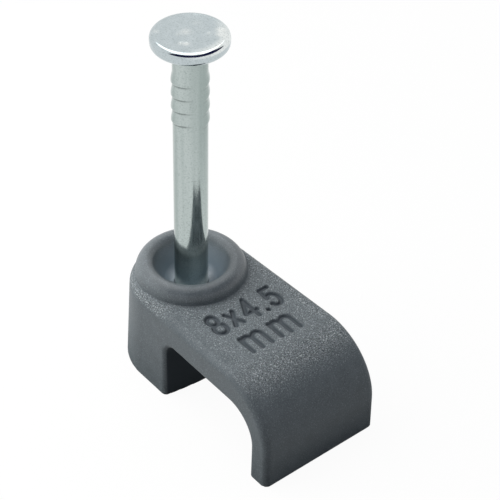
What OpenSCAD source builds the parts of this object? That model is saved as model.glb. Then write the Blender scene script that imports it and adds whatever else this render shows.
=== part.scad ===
// Nail-in cable clip for a flat twin cable: a moulded plastic saddle that hooks over the cable,
// with a plated steel nail standing ready in its post.
// Millimetres. The origin is on the nail axis in the wall plane. X runs from the nail to the free
// leg, Y along the cable, Z away from the wall.

/* [Cable channel] */
// Clear width for the cable between the post and the leg
channel_w = 8.24; // [6:0.05:10]
// Clear height for the cable under the bridge
channel_h = 4.46; // [3.5:0.02:6]
// Radius of the roof corner beside the post
channel_corner_r = 0.95; // [0.4:0.05:1.5]
// Radius of the roof corner beside the leg
channel_bend_r = 2.11; // [1:0.01:3]
// Bow of the post wall, fuller in the middle of its width
post_wall_bow = 0.4; // [0:0.05:0.6]

/* [Clip body] */
// Radius of the post around the nail, at the wall
post_r = 4.12; // [3.6:0.01:4.6]
// Distance from the nail to the edge of the post wall
post_wall_x = 2.75; // [2.3:0.05:3.2]
// Thickness of the bridge over the cable
bridge_t = 2.04; // [1.4:0.02:2.6]
// Thickness of the leg at the wall
leg_t = 1.55; // [1.2:0.01:2.4]
// Half width of the leg at the wall
leg_half_w = 4.33; // [3.8:0.01:4.8]
// Outer radius where the bridge turns down into the leg
shoulder_r = 4.13; // [2.5:0.01:4.6]
// Mould draft of the two side faces, in degrees
side_draft = 0.6; // [0:0.1:2]
// Mould draft of the post's rounded back, in degrees
back_draft = 4; // [0:0.1:5]
// Rounding of the outer edges
edge_r = 0.45; // [0.2:0.05:0.8]
// Rounding of the post's top edge
post_edge_r = 0.7; // [0.2:0.05:1]
// Rounding of the edges around the channel
inner_edge_r = 0.3; // [0.1:0.05:0.45]

/* [Collar] */
// Radius from the nail axis to the crest of the collar
crest_r = 2.68; // [2.4:0.01:2.9]
// Height of the crest above the body
crest_rise = 0.98; // [0.5:0.02:1.4]
// Width of the collar's rounded outer side, from crest to foot
collar_side_w = 0.82; // [0.5:0.02:1]
// Height of the collar's rounded outer side, from crest to foot
collar_side_h = 1; // [0.6:0.02:1.4]
// Radius of the lip inside the crest
lip_r = 0.3; // [0.1:0.02:0.5]
// Radius of the cup's floor
cup_floor_r = 1.5; // [1.3:0.05:1.7]
// Radius of the corner between the cup's floor and its wall
cup_corner_r = 0.4; // [0.1:0.05:0.6]
// Depth of the cup's floor below the top of the body
cup_depth = 0.9; // [0.4:0.05:1.2]

/* [Nail] */
// Diameter of the shank
nail_d = 2.1; // [1.6:0.05:2.6]
// Length from the head to the tip
nail_l = 23.4; // [18:0.1:30]
// Height of the tip above the wall before the nail is driven
nail_tip_z = 0.5; // [0.1:0.1:1.5]
// Diameter of the head
nail_head_d = 4.64; // [3.6:0.02:5.4]
// Thickness of the head
nail_head_t = 0.84; // [0.7:0.02:1.2]
// Rounding of the head's rim, above and below
nail_head_edge_r = 0.32; // [0.1:0.01:0.34]
// Height of the cone under the head
nail_neck_h = 0.3; // [0.1:0.05:0.8]
// Half angle of the four flats that form the point
nail_point_angle = 19; // [12:1:30]
// Gap between the shank and its hole, on the radius
nail_gap = 0.01; // [0.005:0.005:0.1]

/* [Grip ridges] */
// Number of ridges on each side of the shank
grip_n = 4; // [0:1:8]
// Spacing of the ridges along the shank
grip_pitch = 0.9; // [0.6:0.05:1.4]
// Distance from the head's top to the first ridge
grip_start = 3.1; // [2:0.1:5]
// Height of a ridge above the shank
grip_rise = 0.1; // [0.03:0.01:0.15]
// Width of a ridge at its foot
grip_w = 0.3; // [0.2:0.02:0.5]
// Slant of the ridges, in degrees
grip_slant = 14; // [0:1:30]
// Direction of the ridges about the nail axis, in degrees
grip_turn = 75; // [0:1:90]

/* [Hidden] */
$fn = 72;
body_h = channel_h + bridge_t;
leg_in_x = post_wall_x + channel_w;
leg_out_x = leg_in_x + leg_t;
side_lean = tan(side_draft);
splay = (leg_half_w - post_r) / leg_out_x;
post_top_r = post_r - body_h * side_lean;
post_top_x = body_h * (tan(back_draft) - side_lean);
shoulder_z = body_h - shoulder_r;
shoulder_x = leg_out_x - shoulder_r;
crest_z = body_h + crest_rise;
collar_foot_r = crest_r + collar_side_w;
cup_z = body_h - cup_depth;
cup_run = [crest_r - cup_floor_r, crest_z - lip_r - cup_z];
cup_lean = atan2(cup_run[1], cup_run[0]) + asin(lip_r / norm(cup_run));
cup_corner_x = cup_floor_r - cup_corner_r * tan(cup_lean / 2);
lip_turn = 10;
arc_n = 10;
nail_r = nail_d / 2;
nail_hole_r = nail_r + nail_gap;
nail_top_z = nail_tip_z + nail_l;
head_r = nail_head_d / 2;
head_z = nail_top_z - nail_head_t;
wall_over = 1;
skin = 0.01;
collar_root = 0.6;
tip_over = 0.1;

// Half width of the body: wider towards the leg, narrower away from the wall
function half_w(x, z) = post_r + splay * x - side_lean * z;

// Outline of the channel, widened by flare, with the post wall moved by bow
function channel_line(flare, bow) = [
    [post_wall_x + bow - flare, -wall_over],
    for (a = [180 : -10 : 90])
        [post_wall_x + bow + channel_corner_r + (channel_corner_r + flare) * cos(a),
         channel_h - channel_corner_r + (channel_corner_r + flare) * sin(a)],
    for (a = [90 : -7.5 : 0])
        [leg_in_x - channel_bend_r + (channel_bend_r + flare) * cos(a),
         channel_h - channel_bend_r + (channel_bend_r + flare) * sin(a)],
    [leg_in_x + flare, -wall_over]
];

// Stations across the width: distance in from the side face, and the flare of the outline there
edge_side = [for (a = [75 : -15 : 0]) [inner_edge_r * (1 - sin(a)), inner_edge_r * (1 - cos(a))]];
edge_slope = (edge_side[0][1] - edge_side[1][1]) / (edge_side[1][0] - edge_side[0][0]);
edge_out = edge_side[0][0] + 3 * skin;
bow_step = (post_r - inner_edge_r) / 4;
stations = [
    [-wall_over, edge_side[0][1] + edge_slope * edge_out],
    [edge_side[0][0] - edge_out, edge_side[0][1] + edge_slope * edge_out],
    each edge_side,
    for (i = [1 : 3]) [inner_edge_r + i * bow_step, 0]
];
station_n = len(stations);
across = [
    for (s = stations) [-1, s[0], s[1]],
    for (i = [station_n - 1 : -1 : 0]) [1, stations[i][0], stations[i][1]]
];

// Bow of the post wall: full at the middle of the width and gone at the side faces
function bow_at(inset) = post_wall_bow * (1 - pow(1 - min(max(inset, 0) / post_r, 1), 2));

module cable_channel() {
    lines = [for (s = across) channel_line(s[2], bow_at(s[1]) - post_wall_bow / 2)];
    m = len(lines[0]);
    n = len(across);
    polyhedron(
        points = [
            for (k = [0 : n - 1])
                for (p = lines[k])
                    [p[0], across[k][0] * (half_w(p[0], p[1]) - across[k][1]), p[1]]
        ],
        faces = [
            [for (i = [0 : m - 1]) i],
            [for (i = [m - 1 : -1 : 0]) (n - 1) * m + i],
            for (k = [0 : n - 2])
                for (i = [0 : m - 1])
                    [k * m + i, (k + 1) * m + i, (k + 1) * m + (i + 1) % m, k * m + (i + 1) % m]
        ]
    );
}

// Quarter ring that rounds one end of the shoulder
module shoulder_end() {
    rotate([90, 0, 0])
        rotate_extrude(angle = 90)
            translate([shoulder_r - edge_r, 0])
                circle(edge_r, $fn = 32);
}

// Solid outside of the body, before the channel is cut
module body_blank() {
    hull() {
        cylinder(h = skin, r = post_r);
        translate([post_top_x, 0, body_h - post_edge_r])
            rotate_extrude()
                translate([post_top_r - post_edge_r, 0])
                    circle(post_edge_r, $fn = 32);
        for (side = [-1, 1]) {
            translate([shoulder_x, side * (half_w(shoulder_x, shoulder_z) - edge_r), shoulder_z])
                rotate([side * side_draft, 0, side * atan(splay)])
                    shoulder_end();
            translate([leg_out_x - edge_r, side * (leg_half_w - edge_r), 0])
                cylinder(h = skin, r = edge_r, $fn = 32);
        }
    }
}

// Points along an oval arc about [r, z], with half axes w and h, from one angle to another
function arc(r, z, w, h, from, to) = [
    for (i = [0 : arc_n])
        let (a = from + (to - from) * i / arc_n)
            [r + w * cos(a), z + h * sin(a)]
];

// Collar around the nail, rooted in the body and still without its cup
module collar() {
    rotate_extrude()
        polygon([
            [0, body_h - collar_root],
            [collar_foot_r, body_h - collar_root],
            each arc(crest_r, crest_z - collar_side_h, collar_side_w, collar_side_h, 0, 90),
            [0, crest_z]
        ]);
}

// Conical cup inside the collar, up over its lip, and the hole for the shank
module nail_hole() {
    lip_end = 90 + lip_turn;
    rotate_extrude()
        polygon([
            [0, cup_z],
            each arc(cup_corner_x, cup_z + cup_corner_r, cup_corner_r, cup_corner_r, -90, cup_lean - 90),
            each arc(crest_r, crest_z - lip_r, lip_r, lip_r, cup_lean + 90, lip_end),
            [crest_r + lip_r * cos(lip_end), crest_z + wall_over],
            [0, crest_z + wall_over]
        ]);
    translate([0, 0, -wall_over])
        cylinder(h = body_h + wall_over, r = nail_hole_r);
}

module clip() {
    color("dimgray")
        difference() {
            union() {
                difference() {
                    body_blank();
                    cable_channel();
                }
                collar();
            }
            nail_hole();
        }
}

// Slanted ridges pressed up by the wire grips: discs as wide as the shank, each moved out to one side
module grip_ridges() {
    half = grip_w / 2;
    for (side = [0, 180], i = [0 : 1 : grip_n - 1])
        translate([0, 0, nail_top_z - grip_start - i * grip_pitch])
            rotate([0, 0, grip_turn + side])
                rotate([grip_slant, 0, 0])
                    translate([grip_rise, 0, 0])
                        rotate_extrude()
                            polygon([[0, -half], [nail_r - half, -half], [nail_r, 0],
                                     [nail_r - half, half], [0, half]]);
}

// Half section of the head, rounded all along its rim
module head_section() {
    translate([0, head_z])
        square([head_r - nail_head_edge_r, nail_head_t]);
    translate([0, head_z + nail_head_edge_r])
        square([head_r, nail_head_t - 2 * nail_head_edge_r]);
    for (z = [head_z + nail_head_edge_r, nail_top_z - nail_head_edge_r])
        translate([head_r - nail_head_edge_r, z])
            circle(nail_head_edge_r);
}

// Four flats that sharpen the point
module point_flats() {
    for (turn = [0 : 90 : 270])
        rotate([0, 0, turn])
            translate([0, 0, nail_tip_z])
                rotate([0, nail_point_angle, 0])
                    translate([0, -nail_d, -nail_d])
                        cube([nail_d, 2 * nail_d, 5 * nail_d]);
}

module nail() {
    color("silver")
        difference() {
            union() {
                rotate_extrude() {
                    polygon([
                        [0, nail_tip_z - tip_over],
                        [nail_r, nail_tip_z - tip_over],
                        [nail_r, head_z - nail_neck_h],
                        [nail_r + nail_neck_h, head_z],
                        [nail_r, head_z + nail_head_edge_r],
                        [0, head_z + nail_head_edge_r]
                    ]);
                    head_section();
                }
                grip_ridges();
            }
            point_flats();
        }
}

clip();
nail();
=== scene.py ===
import math

import bpy
import numpy as np
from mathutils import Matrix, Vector


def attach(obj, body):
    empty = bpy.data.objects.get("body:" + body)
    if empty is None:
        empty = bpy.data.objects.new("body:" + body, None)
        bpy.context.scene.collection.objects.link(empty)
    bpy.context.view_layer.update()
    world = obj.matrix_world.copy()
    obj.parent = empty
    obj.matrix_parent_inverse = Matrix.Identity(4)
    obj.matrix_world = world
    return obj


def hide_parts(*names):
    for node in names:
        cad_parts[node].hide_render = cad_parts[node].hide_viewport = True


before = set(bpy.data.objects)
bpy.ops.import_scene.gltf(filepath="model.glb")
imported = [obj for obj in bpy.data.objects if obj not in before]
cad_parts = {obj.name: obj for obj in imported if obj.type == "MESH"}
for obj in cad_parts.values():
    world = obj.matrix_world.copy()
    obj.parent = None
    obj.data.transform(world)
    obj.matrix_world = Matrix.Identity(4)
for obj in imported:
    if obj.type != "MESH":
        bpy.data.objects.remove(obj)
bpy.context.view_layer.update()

# The clip is one moulding of grey polypropylene: a round post for the nail, a bridge over the
# cable and a leg that hooks down on its far side. The mould leaves drafted sides, rounded edges,
# a beaded collar round the nail, a sunk size mark and a spark-eroded grain on the top.
MM = 0.001
POST_R = 4.12
POST_WALL_X = 2.75
POST_WALL_BOW = 0.4
CHANNEL_H = 4.46
CHANNEL_CORNER_R = 0.95
CHANNEL_BEND_R = 2.11
LEG_IN_X = 10.99
LEG_OUT_X = 12.54
LEG_HALF_W = 4.33
BODY_H = 6.5
SHOULDER_R = 4.13
SIDE_LEAN = math.tan(math.radians(0.6))
BACK_LEAN = math.tan(math.radians(4.0))
EDGE_R = 0.45
POST_EDGE_R = 0.7
INNER_EDGE_R = 0.3
FOOT_EDGE_R = 0.06
CREST_R = 2.68
CREST_Z = BODY_H + 0.98
COLLAR_SIDE_W = 0.82
COLLAR_SIDE_H = 1.0
COLLAR_R = CREST_R + COLLAR_SIDE_W
COLLAR_ROOT = 0.6
COLLAR_FILLET_R = 0.05
LIP_R = 0.3
CUP_FLOOR_R = 1.5
CUP_CORNER_R = 0.4
CUP_Z = BODY_H - 0.9
NAIL_HOLE_R = 1.06
MARK_STROKE = 0.36
MARK_DEPTH = 0.17
MARK_WALL_SLOPE = 0.5
MARK_EDGE_R = 0.06
MARK_X0, MARK_X1, MARK_Y = 3.75, 8.6, 3.3
MARK_MARGIN = 0.4
FAR_OFF = 9.0


def rounded_cut(a, b, r):
    """Signed distance inside both a and b, with the edge between them rounded to r."""
    return np.minimum(-r, np.maximum(a, b)) + np.hypot(np.maximum(a + r, 0), np.maximum(b + r, 0))


def filleted_join(a, b, r):
    """Signed distance inside either a or b, with the corner between them filled to r."""
    return np.maximum(r, np.minimum(a, b)) - np.hypot(np.maximum(r - a, 0), np.maximum(r - b, 0))


def ramp(value, start, stop):
    """0 as far as start, 1 from stop on, and a straight rise in between."""
    return np.clip((value - start) / (stop - start), 0, 1)


def arc(cx, cy, rx, ry, start, stop, count):
    """Points along part of an ellipse, for a stroke of the size mark."""
    turns = np.radians(np.linspace(start, stop, count))
    return [(cx + rx * math.cos(t), cy + ry * math.sin(t)) for t in turns]


# Strokes of each sign on a unit field: x along the row, y up.
SIGN_STROKES = {
    "4": [[(0.74, 0.0), (0.74, 1.0), (0.0, 0.3), (1.0, 0.3)]],
    "5": [[(0.92, 1.0), (0.14, 1.0), (0.06, 0.56)] + arc(0.46, 0.32, 0.5, 0.32, 142, -150, 14)],
    "8": [arc(0.5, 0.76, 0.4, 0.24, 0, 360, 16), arc(0.5, 0.265, 0.5, 0.265, 0, 360, 18)],
    "x": [[(0.0, 0.06), (1.0, 0.74)], [(0.0, 0.74), (1.0, 0.06)]],
    ".": [[(0.5, 0.0), (0.5, 0.0)]],
    "m": [[(0.0, 0.0), (0.0, 0.66)], arc(0.25, 0.42, 0.25, 0.24, 180, 0, 8) + [(0.5, 0.0)],
          arc(0.75, 0.42, 0.25, 0.24, 180, 0, 8) + [(1.0, 0.0)]],
}
SIGN_WIDTHS = {"8": 1.14, "x": 0.96, "4": 1.2, ".": 0.36, "5": 1.12, "m": 1.8}


def mark_segments(text, gap, top_x, foot_x, middle_y):
    """Stroke segments of one row of signs, read along +Y with their tops towards the post."""
    half = MARK_STROKE / 2
    row = sum(SIGN_WIDTHS[s] for s in text) + gap * (len(text) - 1)
    left, segments = middle_y - row / 2, []
    for sign in text:
        inner = SIGN_WIDTHS[sign] - MARK_STROKE
        for stroke in SIGN_STROKES[sign]:
            at = [(foot_x - half - v * (foot_x - top_x - MARK_STROKE), left + half + u * inner)
                  for u, v in stroke]
            segments += list(zip(at[:-1], at[1:]))
        left += SIGN_WIDTHS[sign] + gap
    return segments


MARK_SEGMENTS = np.array(mark_segments("8x4.5", gap=0.15, top_x=4.0, foot_x=6.04, middle_y=0.13)
                         + mark_segments("mm", gap=0.4, top_x=6.0, foot_x=8.35, middle_y=0.1))


def mark_distance(x, y):
    """Distance in plan from the nearest stroke of the size mark."""
    nearest = np.full(x.shape, FAR_OFF)
    for (ax, ay), (bx, by) in MARK_SEGMENTS:
        dx, dy = bx - ax, by - ay
        along = np.clip(((x - ax) * dx + (y - ay) * dy) / max(dx * dx + dy * dy, 1e-9), 0, 1)
        nearest = np.minimum(nearest, np.hypot(x - ax - along * dx, y - ay - along * dy))
    return nearest


def clip_distance(x, y, z):
    """Signed distance from the moulding's surface in millimetres, negative in the plastic."""
    post_x = z * (BACK_LEAN - SIDE_LEAN)
    post_r = POST_R - z * SIDE_LEAN
    splay = (LEG_HALF_W - POST_R) / LEG_OUT_X
    side = np.where(x < post_x, np.hypot(x - post_x, y) - post_r,
                    np.abs(y) - post_r - splay * (x - post_x))
    over_x, over_z = x - LEG_OUT_X + SHOULDER_R, z - BODY_H + SHOULDER_R
    top = (np.minimum(np.maximum(over_x, over_z), 0)
           + np.hypot(np.maximum(over_x, 0), np.maximum(over_z, 0)) - SHOULDER_R)
    toward_post = ramp(x, LEG_OUT_X - SHOULDER_R, 0)
    body = rounded_cut(side, top, EDGE_R + (POST_EDGE_R - EDGE_R) * toward_post)

    wall = POST_WALL_X + POST_WALL_BOW * (0.5 - np.minimum(np.abs(y) / POST_R, 1) ** 2)
    middle, half = (LEG_IN_X + wall) / 2, (LEG_IN_X - wall) / 2
    bend = np.where(x < middle, CHANNEL_CORNER_R, CHANNEL_BEND_R)
    over_x, over_z = np.abs(x - middle) - half + bend, z - CHANNEL_H + bend
    channel = (np.minimum(np.maximum(over_x, over_z), 0)
               + np.hypot(np.maximum(over_x, 0), np.maximum(over_z, 0)) - bend)
    body = rounded_cut(rounded_cut(body, -channel, INNER_EDGE_R), -z, FOOT_EDGE_R)

    out = np.hypot(x, y)
    past_r, over_z = out - CREST_R, np.maximum(z - CREST_Z + COLLAR_SIDE_H, 0)
    oval = np.maximum(np.hypot(past_r / COLLAR_SIDE_W, over_z / COLLAR_SIDE_H), 1e-6)
    stretch = np.maximum(np.hypot(past_r / COLLAR_SIDE_W ** 2, over_z / COLLAR_SIDE_H ** 2), 1e-6)
    collar = np.where(past_r > 0, oval * (oval - 1) / stretch, z - CREST_Z)
    body = filleted_join(body, np.maximum(collar, BODY_H - COLLAR_ROOT - z), COLLAR_FILLET_R)
    run, climb = CREST_R - CUP_FLOOR_R, CREST_Z - LIP_R - CUP_Z
    lean = math.atan2(climb, run) + math.asin(LIP_R / math.hypot(run, climb))
    cone = (out - CUP_FLOOR_R) * math.sin(lean) - (z - CUP_Z) * math.cos(lean)
    body = rounded_cut(body, -rounded_cut(cone, CUP_Z - z, CUP_CORNER_R), LIP_R)
    body = np.maximum(body, NAIL_HOLE_R - out)

    near = (np.abs(z - BODY_H) < MARK_MARGIN) & (np.abs(y) < MARK_Y + MARK_MARGIN)
    near &= (x > MARK_X0 - MARK_MARGIN) & (x < MARK_X1 + MARK_MARGIN)
    sunk = np.full(x.shape, FAR_OFF)
    depth = BODY_H - z[near]
    in_stroke = mark_distance(x[near], y[near]) - MARK_STROKE / 2
    sunk[near] = np.maximum(in_stroke + MARK_WALL_SLOPE * depth, depth - MARK_DEPTH)
    return rounded_cut(body, -sunk, MARK_EDGE_R)


def steps(*runs):
    """Grid positions along one axis, from runs of (start, stop, step)."""
    return np.concatenate([np.arange(a, b - step / 2, step) for a, b, step in runs])


def skin_of(distance, xs, ys, zs):
    """Points and quads round the shape that a signed distance gives, on a grid with uneven steps."""
    value = distance(*np.meshgrid(xs, ys, zs, indexing="ij"))
    lines, cells = (xs, ys, zs), [n - 1 for n in value.shape]
    total, count, quads = np.zeros((np.prod(cells), 3)), np.zeros(np.prod(cells)), []
    for axis in range(3):
        first = np.take(value, range(cells[axis]), axis)
        last = np.take(value, range(1, cells[axis] + 1), axis)
        at = np.argwhere((first < 0) != (last < 0))
        a, b = first[tuple(at.T)], last[tuple(at.T)]
        point = np.stack([lines[k][at[:, k]] for k in range(3)], 1)
        point[:, axis] += a / (a - b) * (lines[axis][at[:, axis] + 1] - lines[axis][at[:, axis]])
        corners = []
        for back_u, back_v in ((1, 1), (0, 1), (0, 0), (1, 0)):
            cell = at.copy()
            cell[:, (axis + 1) % 3] -= back_u
            cell[:, (axis + 2) % 3] -= back_v
            corners.append(np.ravel_multi_index(cell.T, cells))
            np.add.at(total, corners[-1], point)
            np.add.at(count, corners[-1], 1)
        quad = np.stack(corners, 1)
        quad[a > 0] = quad[a > 0, ::-1]
        quads.append(quad)
    quads = np.concatenate(quads)
    used, quads = np.unique(quads, return_inverse=True)
    return total[used] / count[used, None], quads.reshape(-1, 4)


def slope_of(distance, points, reach):
    """Direction out of the surface at each point, from differences over a short reach."""
    slope = np.empty_like(points)
    for k in range(3):
        shift = np.zeros(3)
        shift[k] = reach
        slope[:, k] = distance(*(points + shift).T) - distance(*(points - shift).T)
    return slope / np.maximum(np.linalg.norm(slope, axis=1, keepdims=True), 1e-9)


def mark_points(mesh, name, values):
    """Keeps one number for each point of a mesh, for its material to read."""
    mesh.attributes.new(name, "FLOAT", "POINT").data.foreach_set("value", values.astype(np.float32))


def stand(name, data):
    """Puts a new object with this mesh, lamp or camera in the scene."""
    made = bpy.data.objects.new(name, data)
    bpy.context.scene.collection.objects.link(made)
    return made


# The grid is fine round the size mark, the collar and the feet. The skin's points are then drawn
# onto the surface itself, a short pull at a time.
STEP = 0.105
MARK_STEP = 0.063
PULL = 0.05
points, quads = skin_of(
    clip_distance,
    steps((-4.3, 3.7, STEP), (3.7, 8.8, MARK_STEP), (8.8, 12.8, STEP)),
    steps((-4.5, -3.1, STEP), (-3.1, 3.3, MARK_STEP), (3.3, 4.6, STEP)),
    steps((-0.13, 0.2, 0.055), (0.2, 3.9, 0.16), (3.9, 6.2, STEP), (6.2, 7.7, 0.058)))
for _ in range(3):
    miss = clip_distance(*points.T)
    points -= np.clip(miss, -PULL, PULL)[:, None] * slope_of(clip_distance, points, 0.01)
normals = slope_of(clip_distance, points, 0.03)

mesh = bpy.data.meshes.new("clip_moulding")
mesh.from_pydata(points * MM, [], quads.tolist())
mesh.polygons.foreach_set("use_smooth", [True] * len(quads))
mesh.normals_split_custom_set_from_vertices(normals)

# How strong the mould's grain is at each point: strongest where the shoulder starts to turn, along
# the far edge and round the post's rim, plain on the top, and almost gone on the collar and down the
# sides, which drag along the mould. The same strength places the painted glints, bright specks mixed
# into the plastic's colour as painted highlights.
PLAIN_GRAIN = 0.16
TOP_GRAIN = 0.38
BAND_GRAIN = 0.5
RIM_GRAIN = 0.75
NEAR_EDGE_LOSS = 0.25
BAND_X = 9.9
BAND_W = 0.85
EDGE_Y = 3.0
EDGE_FADE = 0.5
RIM_END_X = 2.8
x, y, z = points.T
out = np.hypot(x, y)
facing_up = normals[:, 2]
upward = ramp(facing_up, 0.68, 0.9)
off_collar = ramp(out, COLLAR_R - 0.1, COLLAR_R + 0.3)
at_post = ramp(x, RIM_END_X, RIM_END_X - 1)
shoulder_band = np.exp(-((x - BAND_X) / BAND_W) ** 2) * (z > 4.6) * (1 + 0.06 * y)
grain_and_glint_edge = np.where(y > 0, 1, at_post)
edge_band = grain_and_glint_edge * ramp(np.abs(y), EDGE_Y, EDGE_Y + EDGE_FADE) * (z > 6.1)
plain_edge = (1 - grain_and_glint_edge) * ramp(-y, EDGE_Y, EDGE_Y + EDGE_FADE)
post_rim = (out > 3.3) * (z > 5.6) * at_post * ramp(facing_up, 0.25, 0.55)
bands = np.maximum(shoulder_band, 0.9 * edge_band)
on_top = upward * (TOP_GRAIN - NEAR_EDGE_LOSS * plain_edge + BAND_GRAIN * bands)
in_mark = (x > MARK_X0) & (x < MARK_X1) & (np.abs(y) < MARK_Y) & (z > 6)
sunk = in_mark * ramp(BODY_H - z, 0.02, 0.14)
grain_and_glints = PLAIN_GRAIN + off_collar * np.maximum(on_top, RIM_GRAIN * post_rim) * (1 - sunk)

# The sunk mark and the channel are painted darker, as painted shade in these recesses. The channel is
# dull, while the collar's bead and the floor of the cup, which the mould's pin forms, come out polished;
# the cup's floor is also painted lighter and bluer, as painted light in the bowl.
BODY_SHEEN = 0.3
CHANNEL_SHEEN = 0.02
POLISH_SHEEN = 0.6
in_channel = (x > 2.2) & (x < LEG_IN_X + 0.2) & (z < CHANNEL_H + 0.2) & (np.abs(y) < 3.95)
# Painted shade: the sunk mark and the channel get a darker colour.
painted_recess_shade = np.maximum(sunk, 0.9 * in_channel)
# The cup's weight sets the polish of its floor and also a painted light, a lighter, bluer colour deep in
# the bowl.
cup = (z > CUP_Z - 0.1) * ramp(out, CREST_R, CREST_R - 0.5) * ramp(z, CUP_Z + 1.7, CUP_Z + 0.5)
bead = (z > BODY_H + 0.1) * ramp(out, COLLAR_R + 0.1, COLLAR_R - 0.2)
sheen = np.where(in_channel, CHANNEL_SHEEN, BODY_SHEEN) + POLISH_SHEEN * np.maximum(cup, 0.6 * bead)
for name, values in (("grain_and_glints", grain_and_glints), ("painted_recess_shade", painted_recess_shade), ("cup", cup), ("sheen", sheen)):
    mark_points(mesh, name, values)
clip = stand("clip_moulding", mesh)


def linear(hex_colour, alpha=1.0):
    """Scene-linear colour of an sRGB hex value."""
    parts = [int(hex_colour[i:i + 2], 16) / 255 for i in (1, 3, 5)]
    return [p / 12.92 if p <= 0.04045 else ((p + 0.055) / 1.055) ** 2.4 for p in parts] + [alpha]


def empty_tree(owner):
    """Node tree of a new material or world, with no nodes in it yet."""
    owner.use_nodes = True
    owner.node_tree.nodes.clear()
    return owner.node_tree


def add(tree, kind, inputs=None, **settings):
    """Adds one node, sets its properties, and sets or links its inputs."""
    made = tree.nodes.new(kind)
    for name, value in settings.items():
        setattr(made, name, value)
    for name, value in (inputs or {}).items():
        if isinstance(value, bpy.types.NodeSocket):
            tree.links.new(value, made.inputs[name])
        else:
            made.inputs[name].default_value = value
    return made


def kept(tree, name):
    """The number that the mesh keeps for each point under this name."""
    return add(tree, "ShaderNodeAttribute", attribute_name=name).outputs["Fac"]


def noise(tree, place, width, detail, roughness):
    """Noise whose largest grains are about this many millimetres wide."""
    return add(tree, "ShaderNodeTexNoise", {"Vector": place, "Scale": 1 / (width * MM), "Detail": detail,
                                            "Roughness": roughness}).outputs["Fac"]


def remap(tree, value, start, stop, low=0.0, high=1.0):
    """Goes from low to high while the value goes from start to stop."""
    return add(tree, "ShaderNodeMapRange", {"Value": value, "From Min": start, "From Max": stop,
                                            "To Min": low, "To Max": high}).outputs["Result"]


def calc(tree, operation, a, b):
    """Result of one operation on two numbers."""
    return add(tree, "ShaderNodeMath", {0: a, 1: b}, operation=operation).outputs[0]


def blend(tree, factor, a, b):
    """Colour between two colours, each one a socket or an sRGB hex value."""
    a, b = (linear(c) if isinstance(c, str) else c for c in (a, b))
    return add(tree, "ShaderNodeMix", {"Factor": factor, 6: a, 7: b}, data_type="RGBA").outputs[2]


# Polypropylene from a spark-eroded mould: satin and slightly waxy, with fine light and dark pits on
# the top, and painted glints, bright specks mixed into the colour as painted highlights, that sparkle
# along the shoulder. The real pits are about 0.05 mm wide; the melt's flow leaves soft clouds of about
# 0.9 mm.
plastic = bpy.data.materials.new("moulded_polypropylene_spark_eroded")
tree = empty_tree(plastic)
place = add(tree, "ShaderNodeTexCoord").outputs["Object"]
strength, shaded_recess, shine, cup_painted_light = (kept(tree, name) for name in ("grain_and_glints", "painted_recess_shade", "sheen", "cup"))
pits = noise(tree, place, width=0.06, detail=2.0, roughness=0.6)
painted_glints = noise(tree, place, width=0.075, detail=1.0, roughness=0.5)
flow = noise(tree, place, width=0.9, detail=5.0, roughness=0.65)
cloud = remap(tree, flow, 0.3, 0.7)
colour = blend(tree, cloud, "#586064", "#697175")
pitted = blend(tree, remap(tree, pits, 0.34, 0.66), "#31383B", "#949C9F")
colour = blend(tree, strength, colour, pitted)
# Painted highlight: glint specks are mixed towards near white where the grain is strong.
bright = calc(tree, "MULTIPLY", remap(tree, painted_glints, 0.58, 0.7), strength)
colour = blend(tree, bright, colour, "#C8CECF")
# Painted shade: the recesses are mixed towards a dark grey.
colour = blend(tree, shaded_recess, colour, "#4C5358")
# Painted light: deep in the cup the colour is mixed towards a light blue-grey.
colour = blend(tree, cup_painted_light, colour, "#8E9CA6")
satin = remap(tree, cloud, 0.0, 1.0, low=0.44, high=0.56)
polish = remap(tree, shine, BODY_SHEEN, BODY_SHEEN + POLISH_SHEEN, high=0.2)
bump = add(tree, "ShaderNodeBump", {"Height": calc(tree, "MULTIPLY", pits, strength), "Strength": 1.0,
                                    "Distance": 0.04 * MM})
skin = add(tree, "ShaderNodeBsdfPrincipled", {
    "Base Color": colour, "Roughness": calc(tree, "SUBTRACT", satin, polish), "IOR": 1.49,
    "Specular IOR Level": shine, "Normal": bump.outputs["Normal"]})
add(tree, "ShaderNodeOutputMaterial", {"Surface": skin.outputs["BSDF"]})
mesh.materials.append(plastic)
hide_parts("clip")
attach(clip, "root")

# The nail is drawn steel wire, cut, headed cold in a die and plated with bright zinc. It stands in
# the post's hole with its four-flat point just inside the foot. The wire grips left slanted ridges
# on both sides below the head.
NAIL_R = 1.05
NAIL_TIP_Z = 0.5
NAIL_TOP_Z = 23.9
HEAD_R = 2.32
HEAD_T = 0.84
HEAD_EDGE_R = 0.32
NECK_H = 0.3
POINT_SLOPE = math.tan(math.radians(19))
GRIP_TOP_Z = 20.59
GRIP_PITCH = 0.905
GRIP_N = 4
GRIP_RISE = 0.1
GRIP_CREST = 0.28
GRIP_GROOVE = 0.045
GRIP_SLANT = math.tan(math.radians(9))
GRIP_SIDES = ((math.radians(255), 1.0), (math.radians(75), 0.5))

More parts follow.
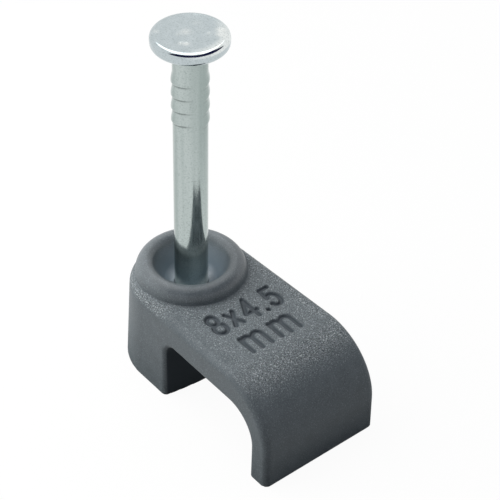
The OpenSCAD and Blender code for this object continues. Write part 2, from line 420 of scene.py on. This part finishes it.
head_z = NAIL_TOP_Z - HEAD_T
rim_x = HEAD_R - HEAD_EDGE_R
bends = np.radians(np.linspace(0, 90, 9))
rows = [(NAIL_R, z) for z in np.concatenate([
    np.linspace(NAIL_TIP_Z + 0.02, 4.9, 44), np.linspace(5.2, 17.2, 16),
    np.arange(17.25, 21.7, 0.035), np.linspace(21.8, head_z - NECK_H - 0.12, 5)])]
rows += [(NAIL_R + NECK_H * (1 - math.cos(a)), head_z - NECK_H + NECK_H * math.sin(a)) for a in bends[1:]]
rows += [(r, head_z) for r in np.linspace(NAIL_R + NECK_H, rim_x, 5)[1:-1]]
rows += [(rim_x + HEAD_EDGE_R * math.sin(a), head_z + HEAD_EDGE_R * (1 - math.cos(a))) for a in bends]
rows += [(rim_x + HEAD_EDGE_R * math.cos(a), NAIL_TOP_Z - HEAD_EDGE_R * (1 - math.sin(a))) for a in bends]
rows += [(r, NAIL_TOP_Z) for r in np.linspace(rim_x, 0.05, 40)[1:]]
profile = np.array(rows)
turns = np.linspace(0, 2 * math.pi, 160, endpoint=False)
turn = turns[None, :]
radius = np.repeat(profile[:, :1], len(turns), 1)
height = np.repeat(profile[:, 1:], len(turns), 1)

shank = radius == NAIL_R
flat = (height - NAIL_TIP_Z) * POINT_SLOPE / np.maximum(np.abs(np.cos(turn)), np.abs(np.sin(turn)))
radius = np.where(shank, np.minimum(radius, flat), radius)
# The groove profile also marks where the material paints shade in the grooves.
painted_groove_shade = np.zeros_like(radius)
for side, bite in GRIP_SIDES:
    swing = (turn - side + math.pi) % (2 * math.pi) - math.pi
    reach = np.clip(np.cos(swing) - 0.66 * np.sin(swing) ** 2, 0, 1)
    cut = bite * np.clip(1.3 * np.cos(np.clip(1.15 * swing, -math.pi / 2, math.pi / 2)), 0, 1)
    for i in range(GRIP_N):
        over = (height - GRIP_TOP_Z + i * GRIP_PITCH - NAIL_R * GRIP_SLANT * np.sin(swing)) / GRIP_PITCH
        swell = np.where(over < GRIP_CREST, np.sin(ramp(over, 0, GRIP_CREST) * math.pi / 2),
                         np.cos(ramp(over, GRIP_CREST, 1) * math.pi / 2) ** 1.5)
        groove_and_painted_shade = shank * cut * np.exp(-((over - 0.06) / 0.06) ** 2)
        radius += shank * reach * GRIP_RISE * swell - GRIP_GROOVE * groove_and_painted_shade
        painted_groove_shade = np.maximum(painted_groove_shade, groove_and_painted_shade)

# The headed top isn't quite flat: the die leaves it faintly dished and rolled down along one side,
# and handling leaves shallow dents (x, y, radius, depth). The dents and a crescent along one side of
# the rim are painted bright, as painted highlights.
DISH = 0.02
RIPPLE = 0.006
ROLL_DOWN = 0.022
ROLL_TURN = math.radians(5)
HIGHLIGHT_TURN = math.radians(25)
FULL_HIGHLIGHT_DEPTH = 0.02
DENTS = ((-0.26, -0.12, 0.4, 0.012), (0.72, -0.82, 0.24, 0.018), (0.5, -1.05, 0.2, 0.013),
         (0.8, 1.52, 0.34, 0.018), (1.12, 1.2, 0.3, 0.016), (0.66, 0.82, 0.16, 0.009),
         (-1.3, -1.42, 0.26, 0.008), (-0.62, 0.9, 0.34, 0.004), (-0.3, -0.62, 0.2, 0.006))
px, py = radius * np.cos(turn), radius * np.sin(turn)
ripple = np.sin(2.1 * px + 0.7) * np.sin(1.7 * py - 0.4) + 0.6 * np.sin(3.9 * px - 2.2 * py + 1.3)
drop = ramp(radius, rim_x, rim_x - 0.5) * (DISH - RIPPLE * ripple)
drop += ROLL_DOWN * (0.5 + 0.5 * np.cos(turn - ROLL_TURN)) * ramp(radius, 1.45, 2.0) ** 2
# Painted highlight: a crescent along one side of the rim, and each dent in proportion to its depth.
painted_highlight = 0.8 * ramp(np.cos(turn - HIGHLIGHT_TURN), 0.3125, 0.9375) * ramp(radius, 1.6, 1.95)
for dent_x, dent_y, dent_r, dent_depth in DENTS:
    dent = dent_depth * np.exp(-((px - dent_x) ** 2 + (py - dent_y) ** 2) / (0.5 * dent_r ** 2))
    drop += dent
    painted_highlight += dent / FULL_HIGHLIGHT_DEPTH
painted_highlight = np.clip(painted_highlight, 0, 1) * (height > NAIL_TOP_Z - HEAD_EDGE_R)
in_top = (height > NAIL_TOP_Z - 1e-6) & (radius < rim_x - 1e-6)
height = np.where(in_top, height - drop, height)

nail_points = np.stack([px, py, height], -1).reshape(-1, 3)
row_n, turn_n = radius.shape
first = np.arange(row_n - 1)[:, None] * turn_n + np.arange(turn_n)[None, :]
second = np.arange(row_n - 1)[:, None] * turn_n + (np.arange(turn_n) + 1)[None, :] % turn_n
nail_quads = np.stack([first, second, second + turn_n, first + turn_n], -1).reshape(-1, 4)
tip, crown = len(nail_points), len(nail_points) + 1
middle = np.mean(nail_points[-turn_n:, 2])
nail_points = np.vstack([nail_points, (0, 0, NAIL_TIP_Z), (0, 0, middle)])
top_row = (row_n - 1) * turn_n
ends = [(tip, (i + 1) % turn_n, i) for i in range(turn_n)]
ends += [(crown, top_row + i, top_row + (i + 1) % turn_n) for i in range(turn_n)]
mesh = bpy.data.meshes.new("plated_nail")
mesh.from_pydata(nail_points * MM, [], nail_quads.tolist() + ends)
mesh.polygons.foreach_set("use_smooth", [True] * len(mesh.polygons))
mesh.set_sharp_from_angle(angle=math.radians(40))
mark_points(mesh, "headed", np.append(height > head_z - NECK_H, (False, True)))
mark_points(mesh, "groove_and_painted_shade", np.append(painted_groove_shade, (0, 0)))
mark_points(mesh, "painted_highlight", np.append(painted_highlight, (0, 0)))
nail = stand("plated_nail", mesh)

# Bright zinc on drawn steel: a clear, faintly green-blue metal. Drawing leaves lines along the wire,
# 0.8 mm and 0.06 mm wide; the plating adds pits of about 0.1 mm and soft patches of 0.5 mm, and the grip
# grooves are painted dark, as painted shade. The head is burnished brighter by the die, and its painted
# highlights, on the dents and along one side of the rim, are brightest.
zinc = bpy.data.materials.new("bright_zinc_plated_drawn_steel")
tree = empty_tree(zinc)
place = add(tree, "ShaderNodeTexCoord").outputs["Object"]
along = add(tree, "ShaderNodeMapping", {"Vector": place, "Scale": (1.0, 1.0, 0.03)}).outputs["Vector"]
headed, shaded_grooves, head_highlights = (kept(tree, name) for name in ("headed", "groove_and_painted_shade", "painted_highlight"))
lines = noise(tree, along, width=0.06, detail=3.0, roughness=0.6)
streaks = noise(tree, along, width=0.8, detail=2.0, roughness=0.5)
patches = noise(tree, place, width=0.5, detail=4.0, roughness=0.6)
grit = noise(tree, place, width=0.1, detail=3.0, roughness=0.6)
wire = blend(tree, remap(tree, streaks, 0.35, 0.65), "#98A5A2", "#B8C2C0")
face = blend(tree, patches, "#B3BEC1", "#C8D1D4")
colour = blend(tree, headed, wire, face)
# Painted highlight: the dents and the rim's crescent are mixed towards near white.
colour = blend(tree, head_highlights, colour, "#E8ECEA")
pitting = remap(tree, grit, 0.3, 0.5, low=0.5, high=0.0)
colour = blend(tree, pitting, colour, "#8B9694")
# Painted shade: the grip grooves are mixed towards a dark grey.
groove_shade_mix = calc(tree, "MULTIPLY", shaded_grooves, 0.68)
colour = blend(tree, groove_shade_mix, colour, "#454D4C")
gloss = remap(tree, patches, 0.3, 0.7, low=0.06, high=0.14)
drawn = remap(tree, headed, 0.0, 1.0, low=0.025, high=0.0)
bump = add(tree, "ShaderNodeBump", {"Height": calc(tree, "ADD", lines, grit), "Strength": 1.0,
                                    "Distance": 0.002 * MM})
plating = add(tree, "ShaderNodeBsdfPrincipled", {
    "Base Color": colour, "Metallic": 1.0, "Roughness": calc(tree, "ADD", gloss, drawn),
    "Normal": bump.outputs["Normal"]})
add(tree, "ShaderNodeOutputMaterial", {"Surface": plating.outputs["BSDF"]})
mesh.materials.append(zinc)
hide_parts("nail")
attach(nail, "root")


def seen(tree):
    """1 for a ray from the camera, a mirror or glass, or else 0."""
    path = add(tree, "ShaderNodeLightPath").outputs
    direct = calc(tree, "MAXIMUM", path["Is Camera Ray"], path["Is Glossy Ray"])
    return calc(tree, "MAXIMUM", direct, path["Is Transmission Ray"])


# The floor is one pale sheet that the clip stands on. To the camera and to mirrors it is almost
# white paper, and quite white far off; to other light, and close up, it is a plain card that takes
# the clip's shadow.
FLOOR_SIDE = 3.0
PAPER_SHARE = 0.8
half = FLOOR_SIDE / 2
mesh = bpy.data.meshes.new("paper_floor")
mesh.from_pydata([(-half, -half, 0), (half, -half, 0), (half, half, 0), (-half, half, 0)], [],
                 [(0, 1, 2, 3)])
floor = stand("paper_floor", mesh)
paper = bpy.data.materials.new("matt_white_paper")
tree = empty_tree(paper)
length = add(tree, "ShaderNodeLightPath").outputs["Ray Length"]
past_clip = remap(tree, length, 1 * MM, 7 * MM, high=PAPER_SHARE)
far_off = remap(tree, length, 0.2, 0.9, high=1 - PAPER_SHARE)
share = calc(tree, "MULTIPLY", seen(tree), calc(tree, "ADD", past_clip, far_off))
card = add(tree, "ShaderNodeBsdfDiffuse", {"Color": linear("#8A8A88")})
white = add(tree, "ShaderNodeEmission", {"Color": (1, 1, 1, 1), "Strength": 1.19})
both = add(tree, "ShaderNodeMixShader", {0: share, 1: card.outputs[0], 2: white.outputs[0]})
add(tree, "ShaderNodeOutputMaterial", {"Surface": both.outputs[0]})
mesh.materials.append(paper)

# Light: a soft box overhead, one close by at the camera's left, a weak one behind at the right, and
# an even dim room. The room looks white to the camera and in the metal.
AIM = (3.0 * MM, 0.0, 5.0 * MM)
for name, toward, distance, side, watts, mirrored in (
        ("overhead_box", (-0.3, 0.14, 0.944), 0.3, 0.28, 0.345, True),
        ("left_box", (-0.62, -0.54, 0.57), 0.08, 0.1, 0.08, False),
        ("right_box", (0.62, 0.72, 0.25), 0.2, 0.12, 0.055, False)):
    lamp = bpy.data.lights.new(name, "AREA")
    lamp.shape, lamp.size, lamp.energy = "SQUARE", side, watts
    holder = stand(name, lamp)
    toward = Vector(toward).normalized()
    holder.location = Vector(AIM) + toward * distance
    holder.rotation_euler = toward.to_track_quat("Z", "Y").to_euler()
    holder.visible_camera = False
    holder.visible_glossy = mirrored
room = bpy.data.worlds.new("plain_room")
bpy.context.scene.world = room
tree = empty_tree(room)
dim = add(tree, "ShaderNodeBackground", {"Color": (0.9, 0.95, 1.0, 1), "Strength": 0.22})
bright = add(tree, "ShaderNodeBackground", {"Color": (1, 1, 1, 1), "Strength": 1.0})
both = add(tree, "ShaderNodeMixShader", {0: seen(tree), 1: dim.outputs[0], 2: bright.outputs[0]})
add(tree, "ShaderNodeOutputWorld", {"Surface": both.outputs[0]})

# A dark blue curtain hangs on the camera's side of the room. The camera doesn't see it; the nail's
# rim mirrors it as a dark line. Its cloth glows faintly navy, as painted light, which also tints the
# clip's shaded sides blue.
CURTAIN_R = 0.5
CURTAIN_SPAN = (-100, 72)
CURTAIN_RISE = (27, 68)
spans = np.radians(np.linspace(*CURTAIN_SPAN, 32))
rises = np.radians(np.linspace(*CURTAIN_RISE, 10))
span, rise = np.meshgrid(spans, rises)
cloth = CURTAIN_R * np.stack([np.cos(span) * np.cos(rise), np.sin(span) * np.cos(rise), np.sin(rise)], -1)
at = np.arange(len(rises) - 1)[:, None] * len(spans) + np.arange(len(spans) - 1)[None, :]
faces = np.stack([at, at + 1, at + 1 + len(spans), at + len(spans)], -1).reshape(-1, 4)
mesh = bpy.data.meshes.new("dark_curtain")
mesh.from_pydata(cloth.reshape(-1, 3), [], faces.tolist())
curtain = stand("dark_curtain", mesh)
curtain.visible_camera = False
glowing_cloth = bpy.data.materials.new("glowing_navy_cloth")
tree = empty_tree(glowing_cloth)
# Painted light: the cloth is an emitter, though it is no lamp.
painted_glow = add(tree, "ShaderNodeEmission", {"Color": linear("#1E2042")})
add(tree, "ShaderNodeOutputMaterial", {"Surface": painted_glow.outputs[0]})
mesh.materials.append(glowing_cloth)

# The camera looks down at the clip over its free leg, from the photograph's angle.
EYE = (68.90 * MM, -53.72 * MM, 80.66 * MM)
AZIMUTH, ELEVATION, ROLL = (math.radians(a) for a in (49.685, 39.716, 1.182))
back = np.array([math.sin(AZIMUTH) * math.cos(ELEVATION), -math.cos(AZIMUTH) * math.cos(ELEVATION),
                 math.sin(ELEVATION)])
right = np.array([math.cos(AZIMUTH), math.sin(AZIMUTH), 0.0])
up = np.cross(back, right)
turned_right = math.cos(ROLL) * right + math.sin(ROLL) * up
turned_up = -math.sin(ROLL) * right + math.cos(ROLL) * up
lens = bpy.data.cameras.new("camera")
lens.lens, lens.sensor_width = 132.8, 36.0
lens.clip_start = 0.005
camera = stand("camera", lens)
pose = np.eye(4)
pose[:3, 0], pose[:3, 1], pose[:3, 2], pose[:3, 3] = turned_right, turned_up, back, EYE
camera.matrix_world = [list(row) for row in pose.T]
bpy.context.scene.camera = camera
bpy.context.scene.view_settings.view_transform = "Standard"
